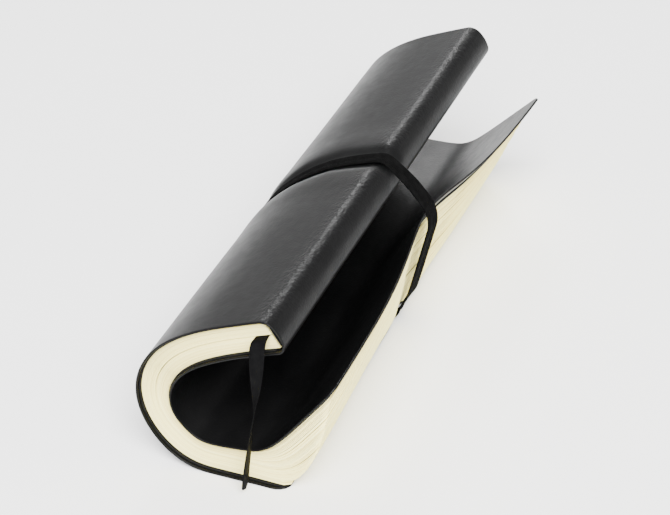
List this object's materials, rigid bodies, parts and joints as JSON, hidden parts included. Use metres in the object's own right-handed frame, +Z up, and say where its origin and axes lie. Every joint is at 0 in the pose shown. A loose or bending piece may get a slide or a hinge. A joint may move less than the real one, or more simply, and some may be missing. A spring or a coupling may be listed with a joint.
{
  "type": "prayer book",
  "caption": "Soft-cover prayer book rolled into a loose curl, held by a flat elastic band, with a ribbon marker hanging from its pages.",
  "frame": {"origin": "centre of the rolled book's underside, on the surface it lies on", "axes": "+Y along the roll, from the end where the ribbon hangs to the other end; +Z up; the spine and the fore-edge both lie towards +X, one above the other"},
  "size_m": [0.0738, 0.2165, 0.0658],
  "materials": {
    "cover_leather": "fine grain, soft sheen",
    "lining_card": "matte",
    "page_paper": "matte, cream",
    "binding_cloth": "open weave",
    "sewing_thread": "matte",
    "satin_ribbon": "satin",
    "woven_elastic": "matte weave"
  },
  "bodies": {
    "fore_half": {"cover_leather_front_fore_half": "cover_leather", "cover_leather_back_fore_half": "cover_leather", "front_lining_fore_half": "lining_card", "back_lining_fore_half": "lining_card", "front_endpaper_fore_half": "page_paper", "back_endpaper_fore_half": "page_paper", "gathering_1_fore_half": "page_paper", "gathering_2_fore_half": "page_paper", "gathering_3_fore_half": "page_paper", "gathering_4_fore_half": "page_paper", "gathering_5_fore_half": "page_paper", "gathering_6_fore_half": "page_paper"},
    "spine_half": {"cover_leather_spine_half": "cover_leather", "front_lining_spine_half": "lining_card", "back_lining_spine_half": "lining_card", "spine_lining": "lining_card", "spine_mull": "binding_cloth", "sewing_thread": "sewing_thread", "front_endpaper_spine_half": "page_paper", "back_endpaper_spine_half": "page_paper", "gathering_1_spine_half": "page_paper", "gathering_2_spine_half": "page_paper", "gathering_3_spine_half": "page_paper", "gathering_4_spine_half": "page_paper", "gathering_5_spine_half": "page_paper", "gathering_6_spine_half": "page_paper", "ribbon_run": "satin_ribbon"},
    "band": {"elastic_band": "woven_elastic"},
    "marker_tail": {"ribbon_tail": "satin_ribbon"}
  },
  "joints": [
    {"name": "roll_open", "type": "hinge", "parent": "fore_half", "child": "spine_half", "pos_m": [-0.03677, 0, 0.02711], "axis": [0, -1, 0], "range_deg": [0, 60]},
    {"name": "band_slide", "type": "slide", "parent": "fore_half", "child": "band", "axis": [0, 1, 0], "range_m": [0, 0.13], "deforming": ["elastic_band"]},
    {"name": "ribbon_swing", "type": "hinge", "parent": "spine_half", "child": "marker_tail", "pos_m": [0.0078, -0.108, 0.0591], "axis": [0, 1, 0], "range_deg": [-60, 60]}
  ],
  "couplings": [
    {"joint": "band_slide", "follows": "roll_open", "m_per_rad": 0.1241}
  ]
}
